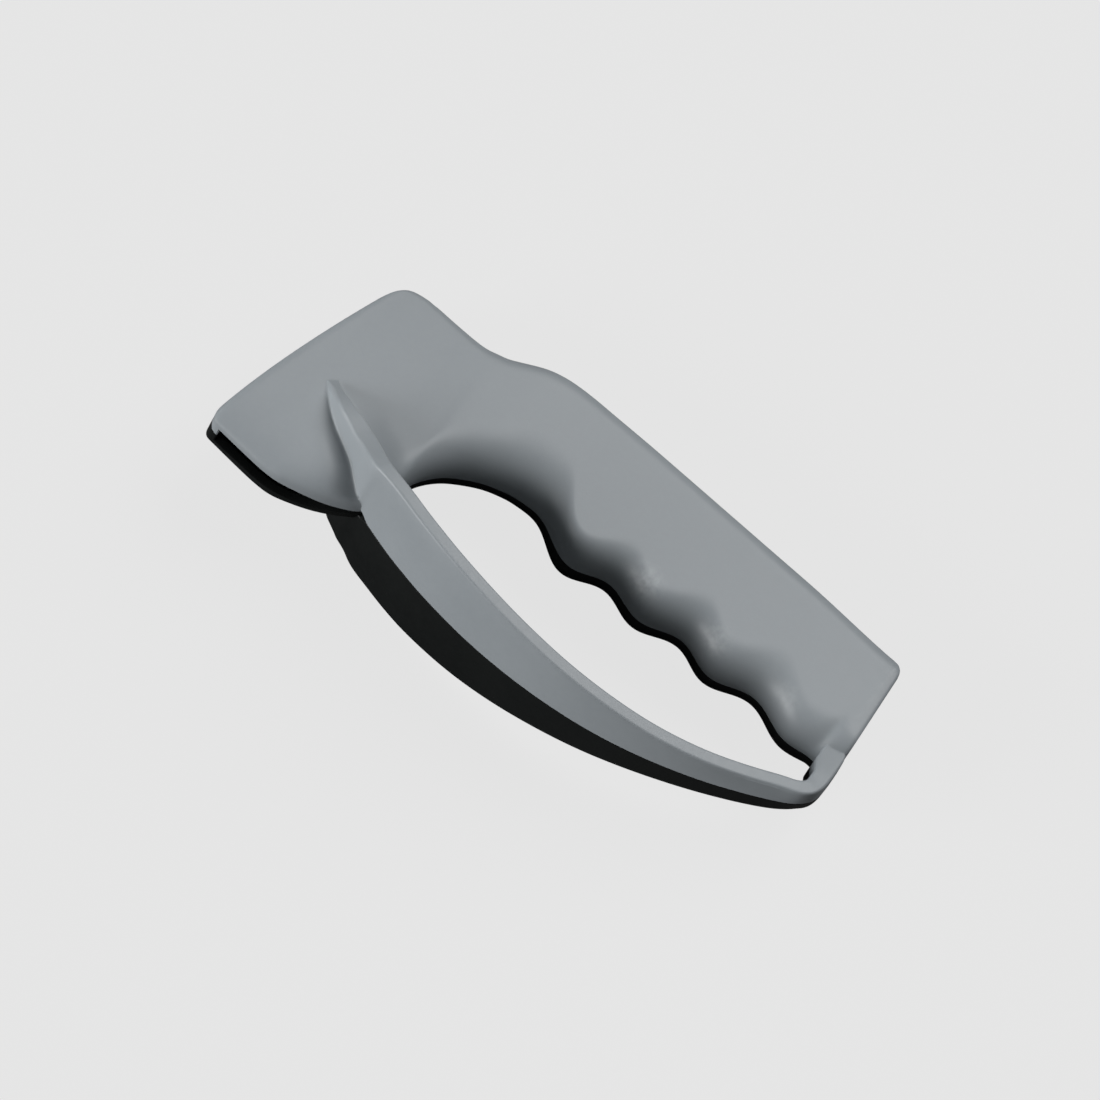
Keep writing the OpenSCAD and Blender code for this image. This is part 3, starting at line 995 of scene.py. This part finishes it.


# a mask of painted highlights: soft lighter patches on the swells' shoulders, broken up by specks
def paintedHighlightMask(made, speck):
    place = made.place()
    total = None
    for spot, reach in plastics["paintedHighlights"]:
        centre = layDownMatrix @ Vector(spot)
        far = made.node(
            "ShaderNodeVectorMath", {"operation": "DISTANCE"}, {0: place, 1: centre}, "Value",
        )
        near = made.node("ShaderNodeMapRange", {"interpolation_type": "SMOOTHSTEP"}, {
            "Value": far, "From Min": 0.0, "From Max": reach * tool["metre"],
            "To Min": 1.0, "To Max": 0.0,
        })
        total = near if total is None else total + near
    return total * made.spread(speck, *plastics["highlightSpecks"]) * plastics["highlightShare"]


def makePlastic(name, deep, light, roughLow, roughHigh, grain, gloss, highlighted=False):
    made = Finish(name)
    cloud, speck = made.noise(*plastics["cloud"]), made.noise(*plastics["speck"])

    def blend(share):
        return cloud * share + speck * (1 - share)

    colour = made.shade(made.spread(blend(plastics["cloudInColour"]), 0, 1), deep, light)
    # painted highlight: the grey is lightened towards a paler tone on the swells between the
    # fingers
    if highlighted:
        colour = made.shade(paintedHighlightMask(made, speck), colour, plastics["highlightTone"])
    fine = made.noise(*plastics["grain"])
    return made.finish({
        "Base Color": colour,
        "Roughness": made.spread(blend(plastics["cloudInRoughness"]), roughLow, roughHigh),
        "Normal": made.bump(grain, plastics["grainHeight"], fine),
        "Specular IOR Level": gloss,
    })


metals = {
    # deep and light colour, roughness from and to, how much the streaks are drawn in each way
    "steel": ((0.36, 0.36, 0.35), (0.52, 0.52, 0.50), 0.24, 0.42, (900, 900, 900)),
    "ground": ((0.30, 0.30, 0.31), (0.47, 0.47, 0.48), 0.22, 0.38, (300, 4200, 4200)),
    "haze": (420.0, 2.0, 0.5),
    "streakDetail": 3.0,
    "streakShare": 0.6,
    "brushStrength": 0.5,
    "brushHeight": 0.00002,
}


def makeMetal(name, deep, light, roughLow, roughHigh, stretch):
    # streaks of the grinding wheel, or an even haze where the stretch is even
    made = Finish(name)
    drawn = made.node("ShaderNodeMapping", {}, {"Vector": made.place(), "Scale": stretch})
    streak = made.node("ShaderNodeTexNoise", {}, {
        "Vector": drawn, "Scale": 1.0, "Detail": metals["streakDetail"],
    })
    share = metals["streakShare"]
    tone = streak * share + made.noise(*metals["haze"]) * (1 - share)
    return made.finish({
        "Base Color": made.shade(made.spread(tone, 0, 1), deep, light),
        "Roughness": made.spread(streak, roughLow, roughHigh),
        "Normal": made.bump(metals["brushStrength"], metals["brushHeight"], streak),
        "Metallic": 1.0,
    })


# the grey shell carries the painted highlights on its swells
greyPlastic = makePlastic("greyPlastic", *plastics["grey"], True)
blackPlastic = makePlastic("blackPlastic", *plastics["black"])
darkPlastic = makePlastic("darkPlastic", *plastics["dark"])
screwSteel = makeMetal("screwSteel", *metals["steel"])
groundMetal = makeMetal("groundMetal", *metals["ground"])

for piece, material, node, slot in (
    (upper, greyPlastic, "upper_shell", "grey_plastic"),
    (lower, blackPlastic, "lower_shell", "black_plastic"),
    (caseScrews, screwSteel, "case_screws", "steel"),
    (frontCutter, groundMetal, "cutter_front", "hard_metal"),
    (rearCutter, groundMetal, "cutter_rear", "hard_metal"),
):
    piece.data.materials.clear()
    piece.data.materials.append(material)
    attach(piece, "root")
    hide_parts(node)
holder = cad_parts["cutter_holder"]
holder.data.materials.clear()
holder.data.materials.append(darkPlastic)
print("materials:", ", ".join(material.name for material in bpy.data.materials))

view = {
    "target": (-0.0033, -0.0004, 0.0151),
    "toCamera": (0.0967, -0.3205, 0.9423),
    "up": (-0.6528, 0.6943, 0.3030),
    "distance": 2.5,
    "lens": 358.4,
    "sensor": 36.0,
    "clipStart": 0.01,
}

bpy.ops.object.camera_add()
camera = bpy.context.object
back = Vector(view["toCamera"]).normalized()
right = Vector(view["up"]).cross(back).normalized()
upward = back.cross(right)
stand = Matrix.Translation(Vector(view["target"]) + back * view["distance"])
camera.matrix_world = stand @ Matrix((right, upward, back)).transposed().to_4x4()
camera.data.lens = view["lens"]
camera.data.sensor_width = view["sensor"]
camera.data.clip_start = view["clipStart"]
camera.data.dof.use_dof = False
bpy.context.scene.camera = camera

studio = {
    # the floor's colour, the share of it that the camera sees unshaded, and what it gives back
    "floorColour": (0.79, 0.79, 0.79),
    "floorGlow": 0.95,
    "floorBounce": (0.11, 0.11, 0.11),
    "floorSize": 12.0,
    "worldStrength": 0.085,
    # name, where it comes from, strength, width in degrees
    "suns": [
        ("keySun", (0.16, 0.71, 0.68), 2.55, 46.0),
        ("fillSun", (-0.63, -0.73, 0.27), 3.35, 28.0),
    ],
}

bpy.ops.mesh.primitive_plane_add(size=studio["floorSize"], location=(0, 0, 0))
floor = bpy.context.object
floor.name = "floor"
paper = Finish("paper")
seen = paper.node("ShaderNodeLightPath", {}, {}, "Is Camera Ray")
plain = paper.node("ShaderNodeBsdfDiffuse", {}, {
    "Color": paper.shade(seen, studio["floorBounce"], studio["floorColour"]),
})
glow = paper.node("ShaderNodeEmission", {}, {"Color": (*studio["floorColour"], 1), "Strength": 1.0})
sheet = paper.node("ShaderNodeMixShader", {}, {0: seen * studio["floorGlow"], 1: plain, 2: glow})
paper.node("ShaderNodeOutputMaterial", {}, {"Surface": sheet})
floor.data.materials.append(paper.material)
floor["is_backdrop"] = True

world = bpy.context.scene.world or bpy.data.worlds.new("world")
bpy.context.scene.world = world
world.use_nodes = True
sky = world.node_tree.nodes["Background"].inputs
sky["Color"].default_value = (1, 1, 1, 1)
sky["Strength"].default_value = studio["worldStrength"]

for name, comesFrom, strength, spread in studio["suns"]:
    bpy.ops.object.light_add(type="SUN")
    sun = bpy.context.object
    sun.name = name
    sun.data.energy = strength
    sun.data.angle = math.radians(spread)
    sun.rotation_euler = Vector(comesFrom).to_track_quat("Z", "Y").to_euler()

bpy.context.scene.view_settings.view_transform = "Standard"
print("camera, floor and", len(studio["suns"]), "suns in place")

nowLow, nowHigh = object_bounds()
for name, box in (("CAD", (*cadLow, *cadHigh)), ("visual", (*nowLow, *nowHigh))):
    print(name, "box in mm:", [round(v / tool["metre"], 2) for v in box])
